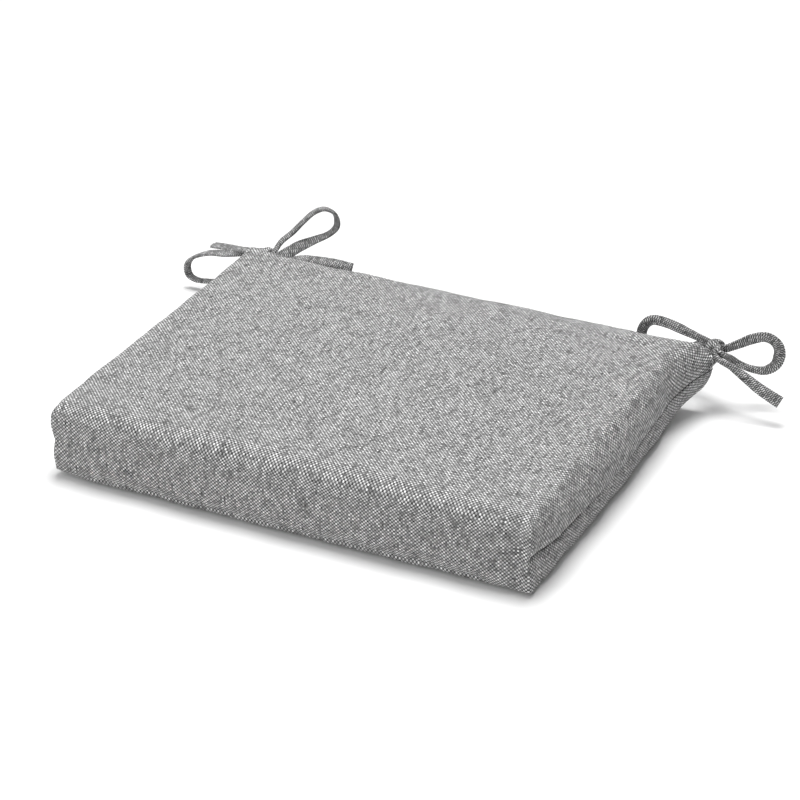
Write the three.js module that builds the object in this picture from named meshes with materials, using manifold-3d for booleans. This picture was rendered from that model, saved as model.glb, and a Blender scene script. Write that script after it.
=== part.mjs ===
// A boxed chair seat pad with two pairs of fabric ties at its back corners.
// Millimetres. X runs along the pad's width, Y from its front to its back, Z up.
// The origin is under the middle of the pad, on the surface that it lies on.

import * as THREE from "three";
import { mergeVertices } from "three/addons/utils/BufferGeometryUtils.js";
import Module from "manifold-3d";

// ---- Driving dimensions -------------------------------------------------

const WIDTH = 480; // between the side walls' edges
const DEPTH = 380; // between the front and back walls' edges
const EDGE_HEIGHT = 75; // from the underside to the top's edge
const EDGE_RADIUS = 10; // the soft rounding along every edge
const CROWN = 4; // how far the top's middle stands above its edge
const SIDE_BULGE = 5; // how far the left, right and back walls swell
const FRONT_BULGE = 3; // the front is one taut fold, and swells less
const EAR_OUT = 24; // how far the ties draw the very point of each back corner outwards
const EAR_BACK = 8; // and backwards
const EAR_STANDS = 6.6; // how far past the back wall's edge the rounded corner then stands
const EAR_REACH = 85; // the length of wall that a drawn corner takes with it
const EAR_LIFT = 28; // how far the underside rises into a drawn corner
const EAR_POINT_Z = { left: 36, right: 50 }; // the right corner is drawn up, towards its bow
const EAR_ABOVE = 30; // a drawn corner fades out this far above its point
const EAR_BELOW = 45; // and this far below
const FRONT_EDGE_Y = -DEPTH / 2 - (EAR_STANDS - FRONT_BULGE) / 2;

const FABRIC = 1.2; // thickness of the woven cover
const ALLOWANCE = 10; // width of the seam allowance turned up or down inside
const SEAM_GAP = 1.4; // the parting between the two panel edges at the seam
const THREAD = 0.8; // diameter of a run of sewing thread
const CLEAR = 0.4; // room kept between neighbouring pieces
const WRAP = 5; // thickness of the polyester wrap round the foam
const TIE = 3.2; // diameter that a gathered tie is drawn with

const SEAM_Z = EDGE_HEIGHT / 2;
const MIDDLE_Y = FRONT_EDGE_Y + DEPTH / 2;

// ---- Materials ----------------------------------------------------------

const material = (color, roughness) => new THREE.MeshStandardMaterial({ color, roughness, metalness: 0 });
const TWEED = material(0xa3a3a3, 0.95);
const DARK_TWEED = material(0x8c8c8c, 0.95);
const FOAM = material(0xf0e6c8, 0.9);
const POLYESTER = material(0xf4f4f2, 1);
const SEWING_THREAD = material(0x7d7d7d, 0.7);

// ---- Solids -------------------------------------------------------------

const wasm = await Module();
wasm.setup();

const SAME_PLACE = 1e-3; // points closer than this are one point

// A closed three.js geometry as a solid that can be joined and cut.
function toSolid(geometry) {
  const bare = geometry.clone();
  bare.deleteAttribute("normal");
  bare.deleteAttribute("uv");
  const merged = mergeVertices(bare, SAME_PLACE);
  return new wasm.Manifold(
    new wasm.Mesh({
      numProp: 3,
      vertProperties: new Float32Array(merged.attributes.position.array),
      triVerts: new Uint32Array(merged.index.array),
    }),
  );
}

function toGeometry(solid) {
  const mesh = solid.getMesh();
  const geometry = new THREE.BufferGeometry();
  geometry.setAttribute("position", new THREE.BufferAttribute(new Float32Array(mesh.vertProperties), 3));
  geometry.setIndex(new THREE.BufferAttribute(new Uint32Array(mesh.triVerts), 1));
  geometry.computeVertexNormals();
  return geometry;
}

const block = (x0, x1, y0, y1, z0, z1) =>
  new THREE.BoxGeometry(x1 - x0, y1 - y0, z1 - z0).translate((x0 + x1) / 2, (y0 + y1) / 2, (z0 + z1) / 2);

// Lines across one side of a block: two cells in each rounded edge, and even cells between them.
function gridLines(half, radius, cells) {
  const lines = [-half, -half + radius / 2];
  for (let i = 0; i <= cells; i++) {
    lines.push(THREE.MathUtils.lerp(-half + radius, half - radius, i / cells));
  }
  lines.push(half - radius / 2, half);
  return lines;
}

// A block with rounded edges, its faces divided so that they can be swelled and drawn.
function roundedBlock(width, depth, height, radius, cells) {
  const halves = [width / 2, depth / 2, height / 2];
  const lines = halves.map((half, axis) => gridLines(half, radius, cells[axis]));
  const steps = lines.map((list) => list.length - 1);
  const geometry = new THREE.BoxGeometry(1, 1, 1, ...steps);
  const position = geometry.attributes.position;
  const point = new THREE.Vector3();
  const inner = new THREE.Vector3();
  for (let i = 0; i < position.count; i++) {
    point.fromBufferAttribute(position, i);
    const placed = point.toArray().map((value, axis) => lines[axis][Math.round((value + 0.5) * steps[axis])]);
    point.fromArray(placed);
    inner.fromArray(placed.map((value, axis) => {
      const limit = halves[axis] - radius;
      return THREE.MathUtils.clamp(value, -limit, limit);
    }));
    point.sub(inner).setLength(radius).add(inner);
    position.setXYZ(i, ...point.toArray());
  }
  return geometry;
}

// ---- The filled pad's outer form ----------------------------------------

// Swells the walls and the top, and draws the two back corners out to the ties.
function swell(point) {
  const across = point.x / (WIDTH / 2);
  const along = (point.y - MIDDLE_Y) / (DEPTH / 2);
  const up = (point.z - SEAM_Z) / SEAM_Z;
  const flat = (value) => Math.max(0, 1 - value * value);
  const wall = (value) => Math.sign(value) * Math.abs(value) ** 4;
  const yBulge = along < 0 ? FRONT_BULGE : SIDE_BULGE;

  const fromCorner = Math.hypot(WIDTH / 2 - Math.abs(point.x), DEPTH / 2 - along * (DEPTH / 2));
  const drawn = Math.max(0, 1 - fromCorner / EAR_REACH) ** 2;
  const z = point.z + CROWN * flat(across) * flat(along) * Math.max(0, up) ** 2
    + drawn * EAR_LIFT * Math.max(0, -up);
  const abovePoint = z - (point.x < 0 ? EAR_POINT_Z.left : EAR_POINT_Z.right);
  const ear = drawn * flat(abovePoint / (abovePoint > 0 ? EAR_ABOVE : EAR_BELOW));

  return new THREE.Vector3(
    point.x + wall(across) * SIDE_BULGE * flat(along) * flat(up) + Math.sign(point.x) * ear * EAR_OUT,
    point.y + wall(along) * yBulge * flat(across) * flat(up) + ear * EAR_BACK,
    z,
  );
}

// A rounded block between two corners, swelled and drawn as the pad is.
function swelledBlock([x0, y0, z0], [x1, y1, z1], radius, cells) {
  const geometry = roundedBlock(x1 - x0, y1 - y0, z1 - z0, radius, cells);
  geometry.translate((x0 + x1) / 2, (y0 + y1) / 2, (z0 + z1) / 2);
  const position = geometry.attributes.position;
  const point = new THREE.Vector3();
  for (let i = 0; i < position.count; i++) {
    position.setXYZ(i, ...swell(point.fromBufferAttribute(position, i)).toArray());
  }
  return geometry;
}

const LEAST_RADIUS = 3; // the innermost form keeps at least this much rounding

// The pad's form, brought in by `inset` from the outside of its cover on every side.
function padForm(inset, cells) {
  const low = [inset - WIDTH / 2, FRONT_EDGE_Y + inset, inset];
  const high = [WIDTH / 2 - inset, FRONT_EDGE_Y + DEPTH - inset, EDGE_HEIGHT - inset];
  return swelledBlock(low, high, Math.max(EDGE_RADIUS - inset, LEAST_RADIUS), cells);
}

const FORM_CELLS = [10, 8, 4]; // even cells across each form's width, depth and height
const FAR = WIDTH; // any length that reaches past the pad

// One woven piece folded round the front. Its two edges meet half-way up the left, back and right walls,
// where each is turned in as a seam allowance. The parting between them stays open.
function cover() {
  const outside = toSolid(padForm(0, FORM_CELLS));
  const inside = toSolid(padForm(FABRIC, FORM_CELLS));
  const insideAllowance = toSolid(padForm(2 * FABRIC, FORM_CELLS));
  const seamBand = (startY, halfHeight) =>
    toSolid(block(-FAR, FAR, startY, FAR, SEAM_Z - halfHeight, SEAM_Z + halfHeight));
  const band = seamBand(FRONT_EDGE_Y + 2 * ALLOWANCE, ALLOWANCE);
  const parting = seamBand(FRONT_EDGE_Y + ALLOWANCE, SEAM_GAP / 2);
  const cavity = inside.subtract(band.subtract(insideAllowance));
  return toGeometry(outside.subtract(cavity).subtract(parting));
}

// The foam is cut a little smaller than the wrapped space, and takes the cover's swell.
const FOAM_SIDE_ROOM = 3; // between the foam's bare sides and the seam allowances
const FOAM_INSET_SIDE = 2 * FABRIC + FOAM_SIDE_ROOM;
const FOAM_INSET_WRAPPED = 2 * FABRIC + WRAP + 2 * CLEAR;
const FOAM_RADIUS = 4;

function foam(grow = 0) {
  const side = FOAM_INSET_SIDE - grow;
  const wrapped = FOAM_INSET_WRAPPED - grow;
  const low = [side - WIDTH / 2, FRONT_EDGE_Y + wrapped, wrapped];
  const high = [WIDTH / 2 - side, FRONT_EDGE_Y + DEPTH - side, EDGE_HEIGHT - wrapped];
  return swelledBlock(low, high, FOAM_RADIUS + grow, FORM_CELLS);
}

// A sheet of polyester laid over the top, round the front and under the foam, open at the back and sides.
function wrap() {
  const outside = toSolid(padForm(2 * FABRIC + CLEAR, FORM_CELLS));
  const low = FOAM_INSET_WRAPPED;
  const high = EDGE_HEIGHT - FOAM_INSET_WRAPPED;
  const foamSide = WIDTH / 2 - FOAM_INSET_SIDE - FOAM_RADIUS;
  const foamFront = FRONT_EDGE_Y + FOAM_INSET_WRAPPED + FOAM_RADIUS;
  const foamBack = FRONT_EDGE_Y + DEPTH - FOAM_INSET_SIDE - FOAM_RADIUS;
  const openings = [
    block(-FAR, -foamSide, foamFront, FAR, low, high),
    block(foamSide, FAR, foamFront, FAR, low, high),
    block(-FAR, FAR, foamBack, FAR, low, high),
  ];
  let sheet = outside.subtract(toSolid(foam(CLEAR)));
  for (const opening of openings) {
    sheet = sheet.subtract(toSolid(opening));
  }
  return toGeometry(sheet);
}

// ---- Sewing thread ------------------------------------------------------

// A round tube of the given diameter along a smooth curve through the points.
function tube(points, diameter, sides, steps) {
  const curve = new THREE.CatmullRomCurve3(points.map((point) => new THREE.Vector3(...point)));
  const section = new THREE.Shape();
  for (let i = 0; i < sides; i++) {
    const angle = (2 * Math.PI * i) / sides;
    const corner = [(diameter / 2) * Math.cos(angle), (diameter / 2) * Math.sin(angle)];
    if (i === 0) {
      section.moveTo(...corner);
    } else {
      section.lineTo(...corner);
    }
  }
  section.closePath();
  return new THREE.ExtrudeGeometry(section, { extrudePath: curve, steps, curveSegments: 1 });
}

// Points along a wall at the seam's height, just inside the cover's outer face.
const THREAD_INSET = 1.6;
const CORNER_SHORT = 14; // where a wall's run of thread stops short of the corner
const WALL_SPANS = 8; // equal spans between the points of a wall's run
const THREAD_SIDES = 6;
const WALL_STEPS = 16;

function sideSeam(side) {
  const start = FRONT_EDGE_Y + CORNER_SHORT;
  const end = FRONT_EDGE_Y + DEPTH - CORNER_SHORT;
  const points = [];
  for (let i = 0; i <= WALL_SPANS; i++) {
    const y = THREE.MathUtils.lerp(start, end, i / WALL_SPANS);
    const onWall = swell(new THREE.Vector3((side * WIDTH) / 2, y, SEAM_Z));
    points.push([onWall.x - side * THREAD_INSET, onWall.y, SEAM_Z]);
  }
  return tube(points, THREAD, THREAD_SIDES, WALL_STEPS);
}

function backSeam() {
  const points = [];
  for (let i = 0; i <= WALL_SPANS; i++) {
    const x = THREE.MathUtils.lerp(-WIDTH / 2 + CORNER_SHORT, WIDTH / 2 - CORNER_SHORT, i / WALL_SPANS);
    const onWall = swell(new THREE.Vector3(x, FRONT_EDGE_Y + DEPTH, SEAM_Z));
    points.push([onWall.x, onWall.y - THREAD_INSET, SEAM_Z]);
  }
  return tube(points, THREAD, THREAD_SIDES, WALL_STEPS);
}

// The thread of a corner seam runs up inside the cover's corner: in front of the wrap, or behind the foam.
const CORNER_RUN = 24; // how far it runs above and below the level seam
const CORNER_STEPS = 8;
const CORNER_INSET = { front: 4.35, back: 5.7 };

function cornerSeam(side, end) {
  const inset = CORNER_INSET[end];
  const x = side * (WIDTH / 2 - inset);
  const y = end === "front" ? FRONT_EDGE_Y + inset : FRONT_EDGE_Y + DEPTH - inset;
  const points = [-1, -0.5, 0, 0.5, 1].map((share) => {
    return swell(new THREE.Vector3(x, y, SEAM_Z + share * CORNER_RUN)).toArray();
  });
  return tube(points, THREAD, THREAD_SIDES, CORNER_STEPS);
}

// ---- Ties ---------------------------------------------------------------

// Each back corner has two ties: one is sewn in at the end of the side wall, one at the end of the back wall.
// They are tied together in a bow. The side tie makes the loop that points in along the pad's back edge.
// The back tie wraps round the knot and makes the loop that points out, past the pad's side.

// The strands inside a bow's knot, as [outwards along the bow, up, away from the pad] from its middle.
const SIDE_TIE_INTO_KNOT = [
  [7, -6.5, -6],
  [8.5, -4.5, -1],
  [4.5, -2.4, 0],
  [0, -2, -0.2],
  [-5, -2.2, 0],
];
const SIDE_TIE_OUT_OF_KNOT = [
  [-6, 2.4, 0.4],
  [0, 2, -0.2],
  [4.5, 3.6, -2.4],
  [6.5, 3, -6.5],
  [6.5, -0.5, -9.5],
];
const BACK_TIE_ROUND_KNOT = [
  [-3.2, -3, -8],
  [-2.4, 2.5, -4.6],
  [-1, 6.2, 0],
  [-0.3, 4.6, 5.4],
  [0, 0, 7.6],
  [0.4, -4.8, 5.2],
  [1.2, -6.3, 0],
  [2.6, -3.6, -4.6],
  [7, -0.8, -4.8],
  [11.5, -1.8, -3.2],
];
const BACK_TIE_OUT_OF_KNOT = [
  [7, 0.3, 4],
  [0, 0, 3.6],
  [-6, -1, 5],
];

// Where each bow sits, and the free stretches of its ties: a loop, and a tail that ends in the air.
const BOWS = {
  right: {
    middle: [259, 207, 62],
    outwards: [0.92, -0.38, 0],
    away: [0.38, 0.92, 0],
    sideRoot: [263, 192, 50],
    sideLoop: [
      [238, 210, 52],
      [220, 211, 42],
      [202, 211, 38],
      [188, 211, 44],
      [182, 211, 55],
      [184, 211, 67],
      [192, 211, 75],
      [208, 211, 75],
      [221, 211, 72],
      [236, 211, 68],
    ],
    sideTail: [
      [266, 195, 56.5],
      [279, 195, 51.5],
      [293, 195, 44],
      [309, 195, 34.5],
      [330, 195, 25],
    ],
    backRoot: [256, 199, 52],
    backLoop: [
      [274, 209, 52.5],
      [280, 213.5, 47],
      [290, 219.5, 41],
      [303, 226, 38.5],
      [312, 230, 44.5],
      [315, 231, 54],
      [314, 231, 63],
      [309, 229, 70.5],
      [301, 225, 74.5],
      [290, 220.5, 72],
      [280, 216, 67],
    ],
    backTail: [
      [243, 221, 57],
      [230, 225, 48],
      [213, 229, 34],
      [195, 231, 20],
      [176, 233, 11],
      [158, 236, 8],
    ],
  },
  left: {
    middle: [-232, 214, 55],
    outwards: [-0.95, 0.3, 0],
    away: [0.3, 0.95, 0],
    sideRoot: [-263, 192.5, 38],
    sideLoop: [
      [-223, 208.5, 57],
      [-217.5, 209.5, 57.5],
      [-211, 220, 59.5],
      [-204, 233, 63],
      [-194, 246, 66.5],
      [-182, 257, 71.5],
      [-176, 262, 78.5],
      [-175.5, 262.5, 87.5],
      [-178.5, 260, 95.5],
      [-186, 254.5, 100],
      [-194.5, 248, 97],
      [-204, 241, 87],
      [-212, 233, 77],
      [-220, 224, 69],
    ],
    sideTail: [
      [-250, 208, 59],
      [-264, 214, 55],
      [-282, 224, 49.5],
      [-306, 232, 44],
    ],
    backRoot: [-255, 199, 53],
    backLoop: [
      [-255, 210, 48],
      [-268, 210, 31],
      [-285, 210, 17],
      [-304.5, 210, 12],
      [-315.5, 210, 11.5],
      [-323, 210, 15],
      [-325.5, 210, 24],
      [-322, 210, 32.5],
      [-310, 210, 41],
      [-295, 210, 46.5],
      [-279.5, 211, 48.5],
      [-262, 215, 51.5],
    ],
    backTail: [
      [-223, 217, 53],
      [-220, 209, 50.5],
      [-211, 206, 54],
      [-199, 204, 60.5],
      [-184, 203, 65.5],
      [-166, 202, 67.5],
      [-146, 202, 68],
      [-128, 202, 66.5],
    ],
  },
};

function inKnot(bow, points) {
  const vector = (list) => new THREE.Vector3(...list);
  const [middle, outwards, away] = [bow.middle, bow.outwards, bow.away].map(vector);
  return points.map(([out, up, back]) => {
    const place = middle.clone().addScaledVector(outwards, out).addScaledVector(away, back);
    return [place.x, place.y, place.z + up];
  });
}

const TIE_SIDES = 8;
const TIE_STEPS = 64;

function sideTie(bow) {
  const into = inKnot(bow, SIDE_TIE_INTO_KNOT);
  const outOf = inKnot(bow, SIDE_TIE_OUT_OF_KNOT);
  return tube([bow.sideRoot, ...into, ...bow.sideLoop, ...outOf, ...bow.sideTail], TIE, TIE_SIDES, TIE_STEPS);
}

function backTie(bow) {
  const round = inKnot(bow, BACK_TIE_ROUND_KNOT);
  const outOf = inKnot(bow, BACK_TIE_OUT_OF_KNOT);
  return tube([bow.backRoot, ...round, ...bow.backLoop, ...outOf, ...bow.backTail], TIE, TIE_SIDES, TIE_STEPS);
}

// ---- Assembly -----------------------------------------------------------

const group = new THREE.Group();

function add(name, geometry, finish) {
  const mesh = new THREE.Mesh(geometry, finish);
  mesh.name = name;
  group.add(mesh);
}

add("foam_core", foam(), FOAM);
add("polyester_wrap", wrap(), POLYESTER);
add("cover", cover(), TWEED);
add("back_seam_thread", backSeam(), SEWING_THREAD);
for (const [sideName, side] of [["left", -1], ["right", 1]]) {
  add(`side_seam_thread_${sideName}`, sideSeam(side), SEWING_THREAD);
  add(`corner_seam_thread_front_${sideName}`, cornerSeam(side, "front"), SEWING_THREAD);
  add(`corner_seam_thread_back_${sideName}`, cornerSeam(side, "back"), SEWING_THREAD);
  add(`${sideName}_side_tie`, sideTie(BOWS[sideName]), DARK_TWEED);
  add(`${sideName}_back_tie`, backTie(BOWS[sideName]), DARK_TWEED);
}

export default group;
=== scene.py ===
import math

import bpy
import numpy as np
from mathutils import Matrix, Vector, noise
from mathutils.bvhtree import BVHTree


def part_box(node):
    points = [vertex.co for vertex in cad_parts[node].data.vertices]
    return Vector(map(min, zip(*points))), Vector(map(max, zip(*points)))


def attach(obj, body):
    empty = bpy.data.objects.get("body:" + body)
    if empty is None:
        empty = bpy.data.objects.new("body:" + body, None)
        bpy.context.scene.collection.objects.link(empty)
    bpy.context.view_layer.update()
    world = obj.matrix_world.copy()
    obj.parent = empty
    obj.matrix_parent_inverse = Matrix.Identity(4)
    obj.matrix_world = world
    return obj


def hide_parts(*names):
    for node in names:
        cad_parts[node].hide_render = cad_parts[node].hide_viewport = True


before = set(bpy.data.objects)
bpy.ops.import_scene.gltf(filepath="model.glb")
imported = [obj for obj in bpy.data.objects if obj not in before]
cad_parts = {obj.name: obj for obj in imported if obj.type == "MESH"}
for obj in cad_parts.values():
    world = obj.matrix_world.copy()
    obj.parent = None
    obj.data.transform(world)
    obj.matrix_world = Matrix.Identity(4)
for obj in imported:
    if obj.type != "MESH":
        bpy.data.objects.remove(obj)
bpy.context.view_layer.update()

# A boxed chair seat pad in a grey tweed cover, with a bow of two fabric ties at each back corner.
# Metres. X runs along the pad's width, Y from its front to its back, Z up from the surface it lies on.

COVER_LOW, COVER_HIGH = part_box("cover")
MM = 0.001

# ---- Camera ---------------------------------------------------------------

CAMERA_AZIMUTH = math.radians(26.17)
CAMERA_ELEVATION = math.radians(29.15)
CAMERA_DISTANCE = 2.474
CAMERA_TARGET = Vector((0, -0.002, 0))
CAMERA_LENS = 118
CAMERA_SHIFT = (0.0294, 0.052)


def make_camera():
    away = Vector((
        math.sin(CAMERA_AZIMUTH) * math.cos(CAMERA_ELEVATION),
        -math.cos(CAMERA_AZIMUTH) * math.cos(CAMERA_ELEVATION),
        math.sin(CAMERA_ELEVATION),
    ))
    data = bpy.data.cameras.new("camera")
    data.lens = CAMERA_LENS
    data.shift_x, data.shift_y = CAMERA_SHIFT
    camera = bpy.data.objects.new("camera", data)
    camera.location = CAMERA_TARGET + away * CAMERA_DISTANCE
    camera.rotation_mode = "QUATERNION"
    camera.rotation_quaternion = (-away).to_track_quat("-Z", "Y")
    bpy.context.collection.objects.link(camera)
    bpy.context.scene.camera = camera


make_camera()

# ---- Materials ------------------------------------------------------------

YARN = 1.8 * MM  # from one yarn's middle to the next
WEAVE = "weave"  # the UV map that holds the cloth's own flat coordinates, in metres
YARN_STRAYS = 0.5  # how far a yarn wanders to and fro, in yarns
STRAY_SCALE, FIBRE_SCALE, PATCH_SCALE = 30.0, 3200, 60
YARNS_APART, SLUB_SCALE = 7.3, 0.12  # each yarn reads its own line of noise, which changes slowly along it
WEFT_SHIFT = 5.0
FOAM_CELL_WALL, FOAM_CELL, FOAM_YELLOWED = (0.42, 0.36, 0.22, 1), (0.8, 0.72, 0.5, 1), (0.7, 0.6, 0.38, 1)


class Nodes:
    """A material's node tree, built up by short calls."""

    def __init__(self, name):
        self.material = bpy.data.materials.new(name)
        self.material.use_nodes = True
        self.tree = self.material.node_tree
        self.tree.nodes.clear()
        self.shader = self.tree.nodes.new("ShaderNodeBsdfPrincipled")
        output = self.tree.nodes.new("ShaderNodeOutputMaterial")
        self.tree.links.new(self.shader.outputs["BSDF"], output.inputs["Surface"])

    def set(self, socket, value):
        if isinstance(value, bpy.types.NodeSocket):
            self.tree.links.new(value, socket)
        else:
            socket.default_value = value

    def add(self, kind, inputs=(), output=0, **settings):
        node = self.tree.nodes.new(kind)
        for key, value in settings.items():
            setattr(node, key, value)
        pairs = inputs.items() if isinstance(inputs, dict) else enumerate(inputs)
        for key, value in pairs:
            self.set(node.inputs[key], value)
        return node.outputs[output]

    def math(self, operation, *values, clamp=False):
        return self.add("ShaderNodeMath", values, operation=operation, use_clamp=clamp)

    def combine(self, x, y, z=0.0):
        return self.add("ShaderNodeCombineXYZ", (x, y, z))

    def between(self, value, low, high, out_low=0.0, out_high=1.0):
        """value moved from low..high to out_low..out_high, with soft ends."""
        return self.add("ShaderNodeMapRange", (value, low, high, out_low, out_high),
                        interpolation_type="SMOOTHSTEP")

    def noise(self, vector, scale, detail=2.0, roughness=0.5):
        return self.add("ShaderNodeTexNoise", {
            "Vector": vector, "Scale": scale, "Detail": detail, "Roughness": roughness,
        })

    def mix(self, share, first, second, blend_type="MIX"):
        """Two colours mixed."""
        node = self.tree.nodes.new("ShaderNodeMix")
        node.data_type = "RGBA"
        node.blend_type = blend_type
        for key, value in ((0, share), (6, first), (7, second)):
            self.set(node.inputs[key], value)
        return node.outputs[2]

    def choose(self, share, first, second):
        """Two numbers mixed."""
        return self.add("ShaderNodeMix", {0: share, 2: first, 3: second})


def grey(value, warmth=0.0):
    return (value * (1 + warmth), value, value * (1 - warmth), 1)


def tweed(name, light, dark, yarn=(YARN, YARN), slant=0.0, relief=0.35 * MM):
    """A plain weave of a light and a dark yarn, each uneven in colour along its length, with painted shade
    where the yarns dip between crossings and a painted highlight on their crowns.

    yarn is the size of a crossing in the two directions, and slant turns the weave as cloth cut on the
    bias is turned.
    """
    n = Nodes(name)
    uv = n.add("ShaderNodeUVMap", uv_map=WEAVE)
    split = n.add("ShaderNodeSeparateXYZ", (uv,)).node
    stray = n.add("ShaderNodeTexNoise", {"Vector": uv, "Scale": STRAY_SCALE, "Detail": 1.0}, output=1)
    wander = n.add("ShaderNodeSeparateXYZ", (stray,)).node

    def yarns(axis):
        """The count of yarns along one direction, each wandering a little to and fro."""
        turn = slant * (2 * axis - 1)
        place = n.math("MULTIPLY_ADD", split.outputs[1 - axis], turn, split.outputs[axis])
        count = n.math("DIVIDE", place, yarn[axis])
        return n.math("MULTIPLY_ADD", wander.outputs[axis], YARN_STRAYS, count)

    across, along = yarns(0), yarns(1)

    # Where this is above zero the warp yarn lies on top, and below zero the weft yarn does.
    wave = n.math("MULTIPLY",
                  n.math("SINE", n.math("MULTIPLY", across, math.pi)),
                  n.math("SINE", n.math("MULTIPLY", along, math.pi)))
    on_top = n.between(wave, -0.1, 0.1)
    swell = n.math("POWER", n.math("ABSOLUTE", wave), 0.6)

    column, row = n.math("FLOOR", across), n.math("FLOOR", along)
    warp_place = n.combine(n.math("MULTIPLY", column, YARNS_APART), n.math("MULTIPLY", along, SLUB_SCALE))
    weft_place = n.combine(
        n.math("MULTIPLY", across, SLUB_SCALE), n.math("MULTIPLY", row, YARNS_APART), WEFT_SHIFT)
    yarn_shade = n.choose(on_top, n.noise(weft_place, 1, 3, 0.7), n.noise(warp_place, 1, 3, 0.7))
    cell_shade = n.add("ShaderNodeTexWhiteNoise", (n.combine(column, row),))
    fibre = n.noise(uv, FIBRE_SCALE, 2)
    patch = n.noise(uv, PATCH_SCALE, 3)

    tones_and_painted_shade = (
        n.math("MULTIPLY_ADD", cell_shade, 0.8, n.between(yarn_shade, 0.25, 0.75, 0.1, 1.0)),
        n.between(fibre, 0.2, 0.8, 0.84, 1.16),
        n.between(patch, 0.25, 0.75, 0.96, 1.04),
        # painted shade and highlight: darker where the yarns round down between crossings, lighter on their
        # crowns
        n.between(swell, 0.0, 0.6, 0.45, 1.1),
    )
    brightness = tones_and_painted_shade[0]
    for shade in tones_and_painted_shade[1:]:
        brightness = n.math("MULTIPLY", brightness, shade)
    colour = n.mix(on_top, grey(dark), grey(light))
    colour = n.mix(1.0, colour, n.combine(brightness, brightness, brightness), "MULTIPLY")

    height = n.math("MULTIPLY_ADD", fibre, 0.25, swell)
    bump = n.add("ShaderNodeBump", {"Strength": 1.0, "Distance": relief, "Height": height})
    n.set(n.shader.inputs["Base Color"], colour)
    n.set(n.shader.inputs["Roughness"], n.between(fibre, 0.2, 0.8, 0.85, 0.97))
    n.set(n.shader.inputs["Normal"], bump)
    n.set(n.shader.inputs["Specular IOR Level"], 0.25)
    n.set(n.shader.inputs["Sheen Weight"], 0.1)
    n.set(n.shader.inputs["Sheen Roughness"], 0.5)
    return n.material


def thread_and_painted_shade_finish():
    """Twisted polyester thread, nearly black so that the stitches also paint the shade of the seams'
    creases as a dark line.
    """
    n = Nodes("sewing_thread_and_painted_shade")
    place = n.add("ShaderNodeTexCoord", output=3)
    ply = n.add("ShaderNodeTexWave", {"Vector": place, "Scale": 900.0, "Distortion": 2.0})
    # nearly black: partly the thread's own colour, partly painted shade of the seam creases
    n.set(n.shader.inputs["Base Color"], n.mix(ply, grey(0.012), grey(0.04)))
    n.set(n.shader.inputs["Roughness"], n.between(ply, 0.0, 1.0, 0.45, 0.7))
    bump = n.add("ShaderNodeBump", {"Strength": 0.6, "Distance": 0.1 * MM, "Height": ply})
    n.set(n.shader.inputs["Normal"], bump)
    return n.material


def foam_finish():
    """Cut polyurethane foam, with its open cells."""
    n = Nodes("foam")
    place = n.add("ShaderNodeTexCoord", output=3)
    cells = n.add("ShaderNodeTexVoronoi", {"Vector": place, "Scale": 700.0})
    patch = n.noise(place, 20, 3)
    colour = n.mix(n.between(cells, 0.1, 0.7), FOAM_CELL_WALL, FOAM_CELL)
    colour = n.mix(n.between(patch, 0.3, 0.8, 0.0, 0.3), colour, FOAM_YELLOWED)
    n.set(n.shader.inputs["Base Color"], colour)
    n.set(n.shader.inputs["Roughness"], n.between(cells, 0.0, 0.8, 0.95, 0.8))
    bump = n.add("ShaderNodeBump", {"Strength": 0.7, "Distance": 0.5 * MM, "Height": cells})
    n.set(n.shader.inputs["Normal"], bump)
    return n.material


def wadding_finish():
    """Bonded polyester wadding: white, with lofty crossing fibres."""
    n = Nodes("wadding")
    place = n.add("ShaderNodeTexCoord", output=3)
    fibres = n.noise(place, 300, 6, 0.75)
    tufts = n.noise(place, 60, 3)
    n.set(n.shader.inputs["Base Color"], n.mix(n.between(fibres, 0.3, 0.7), grey(0.72), grey(0.88)))
    n.set(n.shader.inputs["Roughness"], n.between(fibres, 0.2, 0.8, 0.9, 1.0))
    height = n.math("ADD", fibres, n.math("MULTIPLY", tufts, 2.0))
    bump = n.add("ShaderNodeBump", {"Strength": 0.6, "Distance": 1.0 * MM, "Height": height})
    n.set(n.shader.inputs["Normal"], bump)
    return n.material


COVER_TWEED = tweed("cover_tweed", light=0.56, dark=0.11)
TIE_TWEED = tweed("tie_tweed", light=0.5, dark=0.06, yarn=(3.6 * MM, 1.1 * MM), slant=0.35)
THREAD_AND_PAINTED_SHADE_FINISH = thread_and_painted_shade_finish()
FOAM_FINISH = foam_finish()
WADDING_FINISH = wadding_finish()

# ---- Mesh helpers ---------------------------------------------------------


def make_piece(name, points, faces, finish, replaced, uv=None):
    """A smooth-shaded mesh in the row frame that rides on the one body. uv is each face corner's place."""
    mesh = bpy.data.meshes.new(name)
    mesh.from_pydata([tuple(p) for p in points], [], [tuple(f) for f in faces])
    mesh.polygons.foreach_set("use_smooth", [True] * len(mesh.polygons))
    if uv is not None:
        layer = mesh.uv_layers.new(name=WEAVE)
        layer.data.foreach_set("uv", np.array(uv, np.float32).ravel())
    mesh.materials.append(finish)
    piece = bpy.data.objects.new(name, mesh)
    bpy.context.collection.objects.link(piece)
    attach(piece, "root")
    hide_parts(*replaced)
    return piece


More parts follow.
